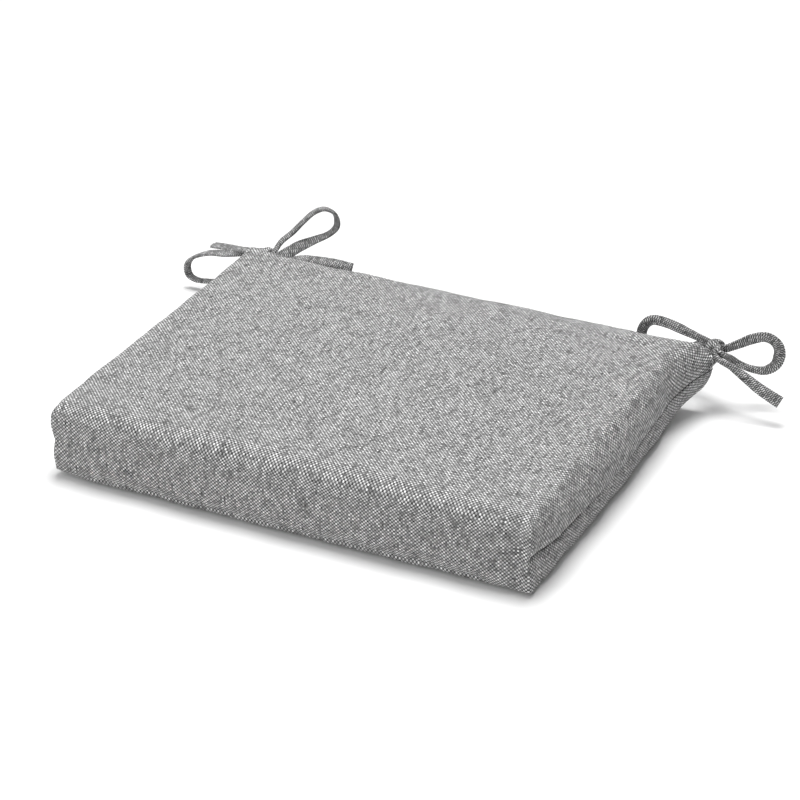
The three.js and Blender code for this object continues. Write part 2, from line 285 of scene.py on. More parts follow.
def smooth_line(keys, step):
    """Points about step apart on a centripetal Catmull-Rom curve, and the place of each among the keys."""
    keys = np.array(keys, float)
    ends = [2 * keys[0] - keys[1]], [2 * keys[-1] - keys[-2]]
    padded = np.concatenate([ends[0], keys, ends[1]])
    points, places = [], []
    for i in range(len(keys) - 1):
        a, b, c, d = padded[i:i + 4]
        knots = np.cumsum([0] + [math.sqrt(np.linalg.norm(q - p)) for p, q in ((a, b), (b, c), (c, d))])
        count = max(2, math.ceil(np.linalg.norm(c - b) / step))
        for k in range(count):
            t = knots[1] + (knots[2] - knots[1]) * k / count
            ab, bc, cd = (
                ((knots[j + 1] - t) * p + (t - knots[j]) * q) / (knots[j + 1] - knots[j])
                for j, (p, q) in enumerate(((a, b), (b, c), (c, d)))
            )
            abc = ((knots[2] - t) * ab + (t - knots[0]) * bc) / (knots[2] - knots[0])
            bcd = ((knots[3] - t) * bc + (t - knots[1]) * cd) / (knots[3] - knots[1])
            points.append(((knots[2] - t) * abc + (t - knots[1]) * bcd) / (knots[2] - knots[1]))
            places.append(i + k / count)
    points.append(keys[-1])
    places.append(len(keys) - 1)
    return np.array(points), np.array(places)


def unit(vectors):
    return vectors / np.maximum(np.linalg.norm(vectors, axis=-1, keepdims=True), 1e-12)


# ---- Ties -----------------------------------------------------------------
# Each tie is a strip folded twice into a flat band. Two of them make a bow at each back corner.

TIE_WIDTH = 10.5 * MM
TIE_THICK = 3.8 * MM
THICKER_WHEN_PULLED = 0.18  # how much the folded tube thickens for each millimetre it is pulled together
RING_STEP = 1.6 * MM
SECTION_POINTS = 32
SEWN_IN = 6  # how far each tie's root reaches into the corner of the cover, in mm
SECTION_POWERS = (0.75, 0.85)  # below 1, the section is fuller than an ellipse
FOLD_PLACE, FOLD_WIDTH, FOLD_DEPTH = 0.27, 0.08, 0.6  # the sunk fold line, as shares of the band's size
SMOOTHED_OVER = 3  # how many rings on each side a change of direction is spread over
OPEN_END = ((0, 0.8), (2, 0.72), (4, 0.6))  # the hollow end: (rings back from it, share of the thickness)

# The strands inside a bow's knot: (outwards along the bow, up, away from the pad) from its middle, in mm.
SIDE_TIE_INTO_KNOT = [
    (7, -6.5, -6), (8.5, -4.5, -1), (4.5, -2.4, 0), (0, -2, -0.2), (-5, -2.2, 0),
]
SIDE_TIE_OUT_OF_KNOT = [
    (-6, 2.4, 0.4), (0, 2, -0.2), (4.5, 3.6, -2.4), (6.5, 3, -6.5), (6.5, -0.5, -9.5),
]
BACK_TIE_ROUND_KNOT = [
    (-3.2, -3, -8), (-2.4, 2.5, -4.6), (-1, 6.2, 0), (-0.3, 4.6, 5.4), (0, 0, 7.6),
    (0.4, -4.8, 5.2), (1.2, -6.3, 0), (2.6, -3.6, -4.6), (7, -0.8, -4.8), (11.5, -1.8, -3.2),
]
BACK_TIE_OUT_OF_KNOT = [(7, 0.3, 4), (0, 0, 3.6), (-6, -1, 5)]

# Where each bow sits and the free stretches of its ties, in mm.
BOWS = {
    "right": {
        "middle": (259, 207, 62),
        "outwards": (0.92, -0.38, 0),
        "away": (0.38, 0.92, 0),
        "side_root": (263, 192, 50),
        "side_loop": [
            (238, 210, 52), (220, 211, 42), (202, 211, 38), (188, 211, 44), (182, 211, 55),
            (184, 211, 67), (192, 211, 75), (208, 211, 75), (221, 211, 72), (236, 211, 68),
        ],
        "side_tail": [
            (266, 195, 56.5), (279, 195, 51.5), (293, 195, 44), (309, 195, 34.5), (330, 195, 25),
        ],
        "back_root": (256, 199, 52),
        "back_loop": [
            (274, 209, 52.5), (280, 213.5, 47), (290, 219.5, 41), (303, 226, 38.5),
            (312, 230, 44.5), (315, 231, 54), (314, 231, 63), (309, 229, 70.5), (301, 225, 74.5),
            (290, 220.5, 72), (280, 216, 67),
        ],
        "back_tail": [
            (243, 221, 57), (230, 225, 48), (213, 229, 34), (195, 231, 20), (176, 233, 11),
            (158, 236, 8),
        ],
    },
    "left": {
        "middle": (-232, 214, 55),
        "outwards": (-0.95, 0.3, 0),
        "away": (0.3, 0.95, 0),
        "side_root": (-263, 192.5, 38),
        "side_loop": [
            (-223, 208.5, 57), (-217.5, 209.5, 57.5), (-211, 220, 59.5), (-204, 233, 63),
            (-194, 246, 66.5), (-182, 257, 71.5), (-176, 262, 78.5), (-175.5, 262.5, 87.5),
            (-178.5, 260, 95.5), (-186, 254.5, 100), (-194.5, 248, 97), (-204, 241, 87),
            (-212, 233, 77), (-220, 224, 69),
        ],
        "side_tail": [(-250, 208, 59), (-264, 214, 55), (-282, 224, 49.5), (-306, 232, 44)],
        "back_root": (-255, 199, 53),
        "back_loop": [
            (-255, 210, 48), (-268, 210, 31), (-285, 210, 17), (-304.5, 210, 12),
            (-315.5, 210, 11.5), (-323, 210, 15), (-325.5, 210, 24), (-322, 210, 32.5),
            (-310, 210, 41), (-295, 210, 46.5), (-279.5, 211, 48.5), (-262, 215, 51.5),
        ],
        "back_tail": [
            (-223, 217, 53), (-220, 209, 50.5), (-211, 206, 54), (-199, 204, 60.5),
            (-184, 203, 65.5), (-166, 202, 67.5), (-146, 202, 68), (-128, 202, 66.5),
        ],
    },
}

# Each tie's length in metres from root to end, and the keys of its route where its flat band changes:
# (key, which way the band's width points there), and (key, how wide the band is there, in mm).
TIES = {
    ("right", "side"): {
        "length": 0.305,
        "width_points": [
            (0, (0.92, 0.26, -0.3)), (2, (0.9, 0.3, 0.0)), (3, (0.5, 0.62, 0.62)), (5, (0, 0.5, 0.86)),
            (8, (0.1, 0.6, 0.8)), (9, (0.53, 0.62, 0.58)), (10, (0.85, 0.51, 0.14)),
            (11, (0.88, 0.16, -0.45)), (12, (0.36, -0.36, -0.86)), (13, (-0.1, -0.56, -0.82)),
            (15, (-0.2, -0.6, -0.78)), (17, (-0.34, -0.61, -0.71)), (18, (-0.85, -0.3, -0.2)),
            (19, (-0.95, 0.2, -0.1)), (20, (-0.92, 0.3, -0.27)), (21, (-0.5, 0.3, -0.8)),
            (22, (-0.38, 0.3, -0.87)), (23, (-0.4, -0.5, -0.75)), (24, (-0.36, -0.61, -0.7)),
            (25, (-0.34, -0.61, -0.71)),
        ],
        "widths": [
            (0, 6.5), (5, 6.5), (7, 9.5), (9, 10.5), (14, 9.5), (16, 6),
            (20, 6), (21, 5.5), (22, 7.5), (24, 11), (25, 12),
        ],
    },
    ("right", "back"): {
        "length": 0.331,
        "width_points": [
            (0, (-0.9, -0.1, -0.4)), (1, (-0.9, 0.35, -0.1)), (8, (-0.9, 0.35, 0.1)),
            (9, (-0.2, 0.5, -0.85)), (10, (-0.5, 0.1, -0.85)), (11, (-0.1, -0.5, -0.8)),
            (12, (0.3, -0.87, -0.4)),
            (13, (0.35, -0.87, -0.35)), (14, (0.6, -0.5, -0.55)), (15, (0.81, 0.03, -0.59)),
            (16, (0.92, 0.39, -0.1)), (17, (0.75, 0.57, 0.34)), (18, (0.5, 0.4, 0.75)),
            (19, (0.1, 0.1, 0.97)), (20, (-0.32, -0.1, 0.94)), (21, (-0.32, 0, 0.94)),
            (22, (-0.14, -0.1, 0.97)), (24, (0.2, 0.5, 0.8)), (26, (-0.4, 0.5, 0.75)),
            (30, (0, 0.6, 0.8)),
        ],
        "widths": [
            (0, 10), (7, 9), (8, 6.5), (10, 6.5), (12, 8), (14, 9), (16, 12),
            (18, 9.5), (20, 11), (22, 8), (24, 6.5), (26, 9), (30, 10.5),
        ],
    },
    ("left", "side"): {
        "length": 0.332,
        "width_points": [
            (0, (-0.64, 0.16, 0.76)), (2, (-0.7, 0.1, 0.7)), (4, (0, 0.5, 0.85)), (6, (0.2, 0.6, 0.76)),
            (7, (-0.45, 0.3, 0.83)), (8, (-0.62, 0.17, 0.77)), (9, (-0.63, 0.25, 0.73)),
            (10, (-0.72, 0.5, 0.4)), (11, (-0.8, 0.6, 0.1)), (12, (-0.9, 0.4, 0.1)),
            (13, (-0.88, 0.45, 0)), (14, (-0.75, 0.65, 0)), (16, (-0.65, 0.75, 0.1)),
            (18, (-0.75, 0.65, 0.1)),
            (20, (-0.3, 0.8, 0.5)), (22, (-0.3, 0.6, 0.7)), (24, (0.1, 0.8, 0.5)), (25, (0.3, 0.9, 0.3)),
            (28, (0.37, 0.9, 0.2)),
        ],
        "widths": [
            (0, 6.5), (6, 6.5), (7, 10), (8, 12.5), (9, 12), (11, 8.5), (13, 9),
            (15, 7.5), (18, 7.5), (20, 6), (24, 6), (26, 9), (28, 10.5),
        ],
    },
    ("left", "back"): {
        "length": 0.399,
        "width_points": [
            (0, (0.24, -0.42, -0.87)), (1, (0.8, -0.4, -0.3)), (2, (0.95, -0.3, 0)), (7, (0.95, -0.3, 0.1)),
            (8, (0.5, 0.4, 0.7)), (10, (0.1, 1, 0.2)), (13, (0, 1, 0)), (15, (0.1, 1, 0)),
            (16, (0.35, 0.93, 0)), (18, (0.35, 0.93, 0)), (20, (0, 0.97, 0.2)), (22, (0, 0.8, 0.6)),
            (24, (0.2, 0.6, 0.78)), (26, (0.9, 0.4, 0)), (27, (0.6, 0.6, 0.5)), (28, (0, 0.9, 0.4)),
            (30, (0, 0.85, 0.5)), (32, (0, 0.65, 0.75)), (33, (0, 0.54, 0.84)),
        ],
        "widths": [
            (0, 10), (7, 9), (8, 6.5), (10, 6.5), (12, 9), (14, 9.5), (16, 9),
            (18, 9.5), (22, 9), (24, 6.5), (27, 6.5), (29, 8), (33, 11.5),
        ],
    },
}


def in_knot(bow, points):
    """Places inside a bow's knot, in the pad's own directions, in mm."""
    middle, outwards, away = (np.array(bow[key], float) for key in ("middle", "outwards", "away"))
    return [middle + out * outwards + back * away + (0, 0, up) for out, up, back in points]


def route(bow, kind):
    """A tie's route: its root in the seam, the knot, its loop, the knot again and its tail, in metres."""
    if kind == "side":
        knots = SIDE_TIE_INTO_KNOT, SIDE_TIE_OUT_OF_KNOT
    else:
        knots = BACK_TIE_ROUND_KNOT, BACK_TIE_OUT_OF_KNOT
    root = np.array(bow[kind + "_root"], float)
    root[:2] -= SEWN_IN * unit(root[:2])
    points = [root, *in_knot(bow, knots[0]), *bow[kind + "_loop"],
              *in_knot(bow, knots[1]), *bow[kind + "_tail"]]
    return np.array(points, float) * MM


def section(width, thick):
    """The band's closed outline across its run: full faces, round edges, and the sunk line of its fold."""
    outline = []
    for i in range(SECTION_POINTS):
        angle = 2 * math.pi * i / SECTION_POINTS
        round_place = math.cos(angle), math.sin(angle)
        across, out = (
            math.copysign(abs(value) ** power, value) * size / 2
            for value, power, size in zip(round_place, SECTION_POWERS, (width, thick))
        )
        valley = math.exp(-((across / width - FOLD_PLACE) / FOLD_WIDTH) ** 2)
        outline.append((across, out * (1 - FOLD_DEPTH * valley)))
    return np.array(outline)


def directions(places, keys):
    """Directions that change smoothly from key to key."""
    at, points = zip(*keys)
    found = np.stack([np.interp(places, at, np.array(points, float)[:, k]) for k in range(3)], axis=1)
    kernel = np.ones(2 * SMOOTHED_OVER + 1) / (2 * SMOOTHED_OVER + 1)
    padded = np.pad(found, ((SMOOTHED_OVER, SMOOTHED_OVER), (0, 0)), mode="edge")
    return np.stack([np.convolve(padded[:, k], kernel, "valid") for k in range(3)], axis=1)


def make_tie(bow_name, kind):
    """One tie as a band swept along its route, open for a little way into its end as a folded tube is."""
    facts = TIES[bow_name, kind]
    line, places = smooth_line(route(BOWS[bow_name], kind), RING_STEP)
    run = unit(np.gradient(line, axis=0))
    across = directions(places, facts["width_points"])
    across = unit(across - (across * run).sum(1, keepdims=True) * run)
    face = np.cross(run, across)
    width = np.interp(places, *zip(*facts["widths"])) * MM
    thick = TIE_THICK + THICKER_WHEN_PULLED * np.maximum(TIE_WIDTH - width, 0)

    travelled = np.concatenate([[0], np.cumsum(np.linalg.norm(np.diff(line, axis=0), axis=1))])
    rings = [(i, 1.0) for i in range(len(line))]
    last = len(line) - 1
    rings += [(last - back, share) for back, share in OPEN_END]
    shape = section(TIE_WIDTH, TIE_THICK)
    closed = np.vstack([shape, shape[:1]])
    round_it = np.concatenate([[0], np.cumsum(np.linalg.norm(np.diff(closed, axis=0), axis=1))])
    points, faces, uv = [], [], []
    for i, share in rings:
        spare = thick[i] * (1 - share) / 2
        outline = section(width[i] - 2 * spare, thick[i] * share)
        points.extend(line[i] + outline[:, :1] * across[i] + outline[:, 1:] * face[i])
    for i in range(len(rings) - 1):
        for j in range(SECTION_POINTS):
            k = (j + 1) % SECTION_POINTS
            a, b = i * SECTION_POINTS, (i + 1) * SECTION_POINTS
            faces.append((a + j, a + k, b + k, b + j))
            near, far = travelled[rings[i][0]], travelled[rings[i + 1][0]]
            uv.extend([(round_it[j], near), (round_it[j + 1], near),
                       (round_it[j + 1], far), (round_it[j], far)])
    inner = (len(rings) - 1) * SECTION_POINTS
    for ring, order in ((0, range(SECTION_POINTS - 1, -1, -1)), (inner, range(SECTION_POINTS))):
        faces.append([ring + j for j in order])
        uv.extend([tuple(shape[j]) for j in order])
    name = f"{bow_name}_{kind}_tie"
    piece = make_piece(name + "_band", points, faces, TIE_TWEED, [name], uv)


for bow_name, kind in TIES:
    make_tie(bow_name, kind)

# ---- The pad's form -------------------------------------------------------

CROWN = 4 * MM  # how far the top's middle stands above its edge
SIDE_BULGE = 5 * MM  # how far the left, right and back walls swell
FRONT_BULGE = 3 * MM
WALL_POWER = 4  # how close to a wall its swelling starts

# The two back corners are drawn out to the ties, like ears.
EAR_STANDS_OUT = 20.1 * MM  # how far they reach past the side walls
EAR_STANDS_BACK = 6.6 * MM  # and past the back wall
EAR_OUT = 24 * MM
EAR_BACK = 8 * MM
EAR_REACH = 68 * MM
EAR_LIFT = 22 * MM  # how far the bottom is drawn up
EAR_POINT_Z = {-1: 36 * MM, 1: 50 * MM}  # the height of the left and the right tip
EAR_ABOVE = 30 * MM  # how far above and below its tip a corner is drawn out
EAR_BELOW = 42 * MM
TIE_HUMP = 3.5 * MM  # the left ties push up the top edge where they leave the pad
TIE_HUMP_PLACE = (-226 * MM, 186 * MM)
TIE_HUMP_REACH = 15 * MM

SEAM_LIFT = 9 * MM  # how far the ties draw the seam up
SEAM_SAG = 9 * MM  # the upper cloth is fuller, and pushes the side seams down between the corners
SAG_TO_CORNERS, SAG_AT_WALL = 4, 8  # powers: the sag is even along a side, and only at the wall

HALF_WIDTH = COVER_HIGH[0] - EAR_STANDS_OUT
FRONT_Y = COVER_LOW[1] + FRONT_BULGE
BACK_Y = COVER_HIGH[1] - EAR_STANDS_BACK
TOP_Z = COVER_HIGH[2] - CROWN
SEAM_Z = TOP_Z / 2
MIDDLE_Y = (FRONT_Y + BACK_Y) / 2
HALF_DEPTH = (BACK_Y - FRONT_Y) / 2
SAME_PLACE = 1e-6

# How far each edge's rounding reaches in from each wall.
ROUND_SIDE = 9 * MM
ROUND_FRONT = 18 * MM
ROUND_BACK = 9 * MM
ROUND_TOP = 13 * MM
ROUND_BOTTOM = 7 * MM
UPRIGHT_POWER = 7  # the seams keep the upright edges much squarer than the round 2 of the level ones
CELL = 5.5 * MM  # the size of the mesh's quads
ARC_STEPS = (0, 14, 27, 37, 45)  # degrees from an edge's start to its middle
SEAM_LINES = (-4.5 * MM, -2.4 * MM, -0.9 * MM, 0, 0.9 * MM, 2.4 * MM, 4.5 * MM)  # the lines near the seam


def grid_lines(low, high, low_round, high_round, fixed=()):
    """Lines across one side of the block, and how far along the cloth each one lies."""
    start, end = low + low_round, high - high_round
    stops = [start, *fixed, end]
    even = []
    for a, b in zip(stops, stops[1:]):
        count = max(1, round((b - a) / CELL))
        even.extend(a + (b - a) * k / count for k in range(count))
    even.append(end)
    arcs = [math.radians(step) for step in ARC_STEPS[1:]]
    places = [start - low_round * math.tan(a) for a in reversed(arcs)] + even
    places += [end + high_round * math.tan(a) for a in arcs]
    cloth = [start - low_round * a for a in reversed(arcs)] + even + [end + high_round * a for a in arcs]
    return np.array(places), np.array(cloth)


def block_mesh(low, high, rounds, fixed=((), (), ())):
    """A rounded block's points before rounding, its quads, and each corner's place on the flat cloth.

    rounds holds, for each axis, how far the rounding reaches in from its low and its high side.
    """
    lines, cloth = zip(*(grid_lines(low[k], high[k], *rounds[k], fixed[k]) for k in range(3)))
    last = [len(line) - 1 for line in lines]
    index, points, faces, uv = {}, [], [], []

    def number(cell):
        if cell not in index:
            index[cell] = len(points)
            points.append([lines[k][cell[k]] for k in range(3)])
        return index[cell]

    def unrolled(cell, axis, end):
        """The cover is cut so that the top and the bottom each turn down into the walls."""
        x, y, z = (cloth[k][cell[k]] for k in range(3))
        down = cloth[2][-1] - z
        if axis == 2:
            return (x, y) if end else (x, 2 * cloth[1][0] - (cloth[2][-1] - cloth[2][0]) - y)
        if axis == 1:
            return (x, cloth[1][0] - down) if not end else (x, cloth[1][-1] + down)
        return (cloth[0][-1] + down, y) if end else (cloth[0][0] - down, y)

    for axis in range(3):
        u, v = (axis + 1) % 3, (axis + 2) % 3
        for end in (0, 1):
            for i in range(last[u]):
                for j in range(last[v]):
                    corners = [(i, j), (i + 1, j), (i + 1, j + 1), (i, j + 1)]
                    cells = []
                    for a, b in (corners if end else reversed(corners)):
                        cell = [0, 0, 0]
                        cell[axis], cell[u], cell[v] = end * last[axis], a, b
                        cells.append(tuple(cell))
                    faces.append([number(cell) for cell in cells])
                    uv.extend(unrolled(cell, axis, end) for cell in cells)
    return np.array(points), faces, uv


def rounded(points, low, high, rounds):
    """The block's points drawn in to its rounded edges."""
    inner_low = np.array([low[k] + rounds[k][0] for k in range(3)])
    inner_high = np.array([high[k] - rounds[k][1] for k in range(3)])
    inner = np.clip(points, inner_low, inner_high)
    out = points - inner
    reach = np.array(rounds)
    share = np.abs(out) / np.where(out < 0, reach[:, 0], reach[:, 1])
    level = (share[:, 0] ** UPRIGHT_POWER + share[:, 1] ** UPRIGHT_POWER) ** (1 / UPRIGHT_POWER)
    return inner + out / np.hypot(level, share[:, 2])[:, None]


def swelled(points):
    """Swells the walls and the top, and draws the two back corners out to the ties."""
    x, y, z = points.T
    across, along, up = x / HALF_WIDTH, (y - MIDDLE_Y) / HALF_DEPTH, (z - SEAM_Z) / SEAM_Z

    def flat(value):
        return np.maximum(0, 1 - value ** 2)

    def wall(value):
        return np.sign(value) * np.abs(value) ** WALL_POWER

    y_bulge = np.where(along < 0, FRONT_BULGE, SIDE_BULGE)
    from_corner = np.hypot(HALF_WIDTH - np.abs(x), HALF_DEPTH * (1 - along))
    drawn = np.maximum(0, 1 - from_corner / EAR_REACH) ** 2
    raised = z + CROWN * flat(across) * flat(along) * np.maximum(0, up) ** 2
    raised = raised + drawn * (EAR_LIFT * np.maximum(0, -up) + SEAM_LIFT * flat(up))
    sag = (1 - along ** SAG_TO_CORNERS) * np.abs(across) ** SAG_AT_WALL
    raised = raised - SEAM_SAG * flat(up) * sag
    from_hump = np.hypot(x - TIE_HUMP_PLACE[0], y - TIE_HUMP_PLACE[1])
    raised = raised + TIE_HUMP * np.exp(-(from_hump / TIE_HUMP_REACH) ** 2) * np.maximum(0, up) ** 2
    above = raised - np.where(x < 0, EAR_POINT_Z[-1], EAR_POINT_Z[1])
    ear = drawn * flat(above / np.where(above > 0, EAR_ABOVE, EAR_BELOW))
    return np.stack([
        x + wall(across) * SIDE_BULGE * flat(along) * flat(up) + np.sign(x) * ear * EAR_OUT,
        y + wall(along) * y_bulge * flat(across) * flat(up) + ear * EAR_BACK,
        raised,
    ], axis=1)


LOW = (-HALF_WIDTH, FRONT_Y, 0.0)
HIGH = (HALF_WIDTH, BACK_Y, TOP_Z)
ROUNDS = ((ROUND_SIDE, ROUND_SIDE), (ROUND_FRONT, ROUND_BACK), (ROUND_BOTTOM, ROUND_TOP))

# How the cover swells under pressure.
PRESSURE, CLOTH_GROWS, BENDING, LAST_FRAME = 4, -0.012, 0.6, 20
SWELL_CAP = 3.2 * MM
PULLED_IN = 2.0 * MM  # the walls start this far in
CORNER_REACH = 12 * MM  # but not this close to an upright edge
FREE_RIM = 30 * MM  # the foam holds the middle of the top and bottom level, and only this rim can swell

# The creases of the seams.
SEAM_DEEP, SEAM_SHALLOW, SEAM_DEEP_REACH = 2.2 * MM, 0.4 * MM, 110 * MM
SEAM_HALF_WIDTH = 0.8 * MM
TUCK_DEEP, TUCK_REACH, TUCK_HALF_HEIGHT = 2.2 * MM, 45 * MM, 9 * MM
TIES_FILL, TIES_FILL_REACH = 0.8, 16 * MM  # the sewn-in ties fill most of the seam at the back corners
CORNER_DEEP, CORNER_HALF_WIDTH, CORNER_FADE = 0.8 * MM, 1.5 * MM, 12 * MM

# Slight unevenness: (waves in a metre each way, offset, share of WAVE_HEIGHT).
WAVE_HEIGHT = 1.4 * MM
WAVES = (((22, 22, 9), 0, 0.8), ((60, 60, 14), 9, 0.35))

# How far the two front corners are drawn in at each height: (height in metres, depth in mm).
LEFT_CORNER = [
    (0, 3.5), (0.01, 2.5), (0.024, 0), (0.033, 2), (0.038, 3.6), (0.044, 2), (0.054, 0), (0.066, 1.5),
    (0.075, 2.5),
]
RIGHT_CORNER = [(0, 0), (0.024, 0), (0.038, 1.5), (0.052, 0), (0.066, 1), (0.075, 2)]
CORNER_DRAW_REACH = 22 * MM

# Hollows in the front wall: distance from its left edge, height, half width, half height, depth.
FRONT_DENTS = [
    (31 * MM, 42 * MM, 9 * MM, 26 * MM, 2.6 * MM),
    (464 * MM, 44 * MM, 10 * MM, 24 * MM, 2.4 * MM),
]
FRONT_DENT_REACH = 15 * MM

# The filling: how far the wrap and the foam lie inside the cover's form, and the radius of their edges.
WRAP_INSET, WRAP_RADIUS = 8 * MM, 6 * MM
FOAM_INSET, FOAM_RADIUS = 13 * MM, 4 * MM
LEAST_HEIGHT = 0.3 * MM  # the cover lies this far above the floor


def inset_form(inset, radius):
    """A closed swelled block inside the cover's form."""
    low = [value + inset for value in LOW]
    high = [value - inset for value in HIGH]
    rounds = ((radius, radius),) * 3
    points, faces, _ = block_mesh(low, high, rounds)
    return swelled(rounded(points, low, high, rounds)), faces


def simulated(points, faces, held):
    """The points after the cloth has swelled under pressure, by SWELL_CAP at most. held stay in place."""
    mesh = bpy.data.meshes.new("swelling")
    mesh.from_pydata([tuple(p) for p in points], [], faces)
    cloth_object = bpy.data.objects.new("swelling", mesh)
    bpy.context.collection.objects.link(cloth_object)
    cloth_object.vertex_groups.new(name="held").add([int(i) for i in held], 1.0, "REPLACE")
    cloth = cloth_object.modifiers.new("cloth", "CLOTH")
    cloth.settings.vertex_group_mass = "held"
    cloth.settings.use_pressure = True
    cloth.settings.uniform_pressure_force = PRESSURE
    cloth.settings.shrink_min = CLOTH_GROWS
    cloth.settings.bending_stiffness = BENDING
    cloth.settings.effector_weights.gravity = 0
    cloth.collision_settings.use_collision = False
    cloth.point_cache.frame_start, cloth.point_cache.frame_end = 1, LAST_FRAME
    for step in range(1, LAST_FRAME + 1):
        bpy.context.scene.frame_set(step)
    shown = cloth_object.evaluated_get(bpy.context.evaluated_depsgraph_get()).to_mesh()
    after = np.zeros(len(points) * 3, np.float32)
    shown.vertices.foreach_get("co", after)
    bpy.data.objects.remove(cloth_object)
    bpy.data.meshes.remove(mesh)
    bpy.context.scene.frame_set(1)
    move = after.reshape(-1, 3) - points
    out = normals(points, faces)
    move -= out * np.minimum((move * out).sum(1, keepdims=True), 0)  # the filling lets nothing sink in
    size = np.linalg.norm(move, axis=1, keepdims=True)
    return points + move * (SWELL_CAP * np.tanh(size / SWELL_CAP) / np.maximum(size, 1e-9))


def normals(points, faces):
    """Each point's direction away from the pad."""
    faces = np.array(faces)
    first, second, third, fourth = (points[faces[:, corner]] for corner in range(4))
    crossed = np.cross(third - first, fourth - second)
    total = np.zeros_like(points)
    for corner in range(4):
        np.add.at(total, faces[:, corner], crossed)
    return unit(total)


def bell(distance, reach):
    """1 at no distance, and softly down to nothing past the reach."""
    return np.exp(-(distance / reach) ** 2)


def from_upright_edge(block):
    """How far each point is, seen from above, from the nearest upright edge."""
    x, y, _ = block.T
    return np.hypot(HALF_WIDTH - np.abs(x), np.minimum(y - FRONT_Y, BACK_Y - y))


def seam_depth(block):
    """How deep the level seam pulls each point in: a sharp crease, and a soft tuck close to the corners."""
    x, y, z = block.T
    on_seam_wall = (np.abs(x) > HALF_WIDTH - SAME_PLACE) | (y > BACK_Y - SAME_PLACE)
    from_corner = from_upright_edge(block)
    crease = SEAM_SHALLOW + (SEAM_DEEP - SEAM_SHALLOW) * bell(from_corner, SEAM_DEEP_REACH)
    crease = crease * np.exp(-np.abs(z - SEAM_Z) / SEAM_HALF_WIDTH)
    tuck = TUCK_DEEP * bell(from_corner, TUCK_REACH) * bell(z - SEAM_Z, TUCK_HALF_HEIGHT)
    open_share = 1 - TIES_FILL * bell(np.hypot(HALF_WIDTH - np.abs(x), BACK_Y - y), TIES_FILL_REACH)
    return np.where(on_seam_wall, (crease + tuck) * open_share, 0)


def corner_depth(block):
    """The crease of the four upright corner seams."""
    z = block[:, 2]
    upright = np.clip(np.minimum(z, TOP_Z - z) / CORNER_FADE, 0, 1)
    return CORNER_DEEP * np.exp(-from_upright_edge(block) / CORNER_HALF_WIDTH) * upright


def dents(block):
    """The soft hollows that the seams pull into the front wall and into its two corners."""
    x, y, z = block.T
    front = np.clip(1 - (y - FRONT_Y) / FRONT_DENT_REACH, 0, 1)
    total = np.zeros(len(block))
    for from_left, height, wide, tall, deep in FRONT_DENTS:
        place = x + HALF_WIDTH - from_left
        total += deep * bell(place, wide) * bell(z - height, tall)
    drawn_in = np.where(x < 0, np.interp(z, *zip(*LEFT_CORNER)), np.interp(z, *zip(*RIGHT_CORNER))) * MM
    at_front = y < MIDDLE_Y
    return total * front + at_front * drawn_in * bell(from_upright_edge(block), CORNER_DRAW_REACH)


def undulation(block):
    """Slight unevenness of the filling: long soft waves, standing upright on the walls."""
    return np.array([
        sum(
            noise.noise(Vector((x * waves[0] + offset, y * waves[1], z * waves[2]))) * share
            for waves, offset, share in WAVES
        )
        for x, y, z in block
    ]) * WAVE_HEIGHT


def swollen(block, points, faces):
    """The cover's points after it has swelled, held at its seams, its upright edges and on the foam."""
    out = normals(points, faces)
    slack = (1 - bell(from_upright_edge(block), CORNER_REACH)) * (1 - np.abs(out[:, 2]))
    start = points - out * (PULLED_IN * slack)[:, None]
    x, y, z = block.T
    creased = np.flatnonzero((np.abs(z - SEAM_Z) < SAME_PLACE) & (seam_depth(block) > 0))
    corners = np.flatnonzero(corner_depth(block) > 0.99 * CORNER_DEEP)
    from_edge = np.minimum(HALF_WIDTH - np.abs(x), np.minimum(y - FRONT_Y, BACK_Y - y))
    on_foam = np.flatnonzero(from_edge > FREE_RIM)
    return simulated(start, faces, np.concatenate([creased, corners, on_foam]))


def make_cover():
    """The cover. Returns its block, its points before smoothing, and its smooth surface."""
    fixed = ((), (), tuple(SEAM_Z + offset for offset in SEAM_LINES))
    block, faces, uv = block_mesh(LOW, HIGH, ROUNDS, fixed)
    points = swelled(rounded(block, LOW, HIGH, ROUNDS))
    points = swollen(block, points, faces)
    depth = seam_depth(block) + corner_depth(block) + dents(block) - undulation(block)
    points = points - normals(points, faces) * depth[:, None]
    points[:, 2] = np.maximum(points[:, 2], LEAST_HEIGHT)
    piece = make_piece("seat_cover", points, faces, COVER_TWEED, ["cover"], uv)
    smooth = piece.modifiers.new("smooth", "SUBSURF")
    smooth.levels = smooth.render_levels = 1
    return block, points, BVHTree.FromObject(piece, bpy.context.evaluated_depsgraph_get())


def make_filling(name, node, inset, radius, finish):
    form, faces = inset_form(inset, radius)
    filling = make_piece(name, form, faces, finish, [node])


cover_block, cover_points, cover_surface = make_cover()
make_filling("wadding_wrap", "polyester_wrap", WRAP_INSET, WRAP_RADIUS, WADDING_FINISH)
make_filling("foam_block", "foam_core", FOAM_INSET, FOAM_RADIUS, FOAM_FINISH)

# ---- Sewing thread, which also paints the seams' crease shade -------------

# thicker than sewing thread, so that the dark stitches paint the shaded line of the seam creases
THREAD = 1.1 * MM
THREAD_SUNK = 1.3 * MM  # the cloth closes over the thread far from the corners
THREAD_PROUD = 0.35 * MM  # and lets it show in the crease near them
THREAD_SHOWS = (125 * MM, 200 * MM)  # how far from the front corners, and from the back ones
CORNER_THREAD_ENDS = (8 * MM, 67 * MM)
CORNER_THREAD_SUNK = 0.5 * MM
STITCH = 2.6 * MM
STITCH_SIDES = 6
STITCH_SHAPE = ((0.04, 0.35), (0.15, 0.9), (0.5, 1.1), (0.85, 0.9), (0.96, 0.35))  # (place along it, size)
NO_SEAM_RUNS = (0.3, 0.2, 0.93)


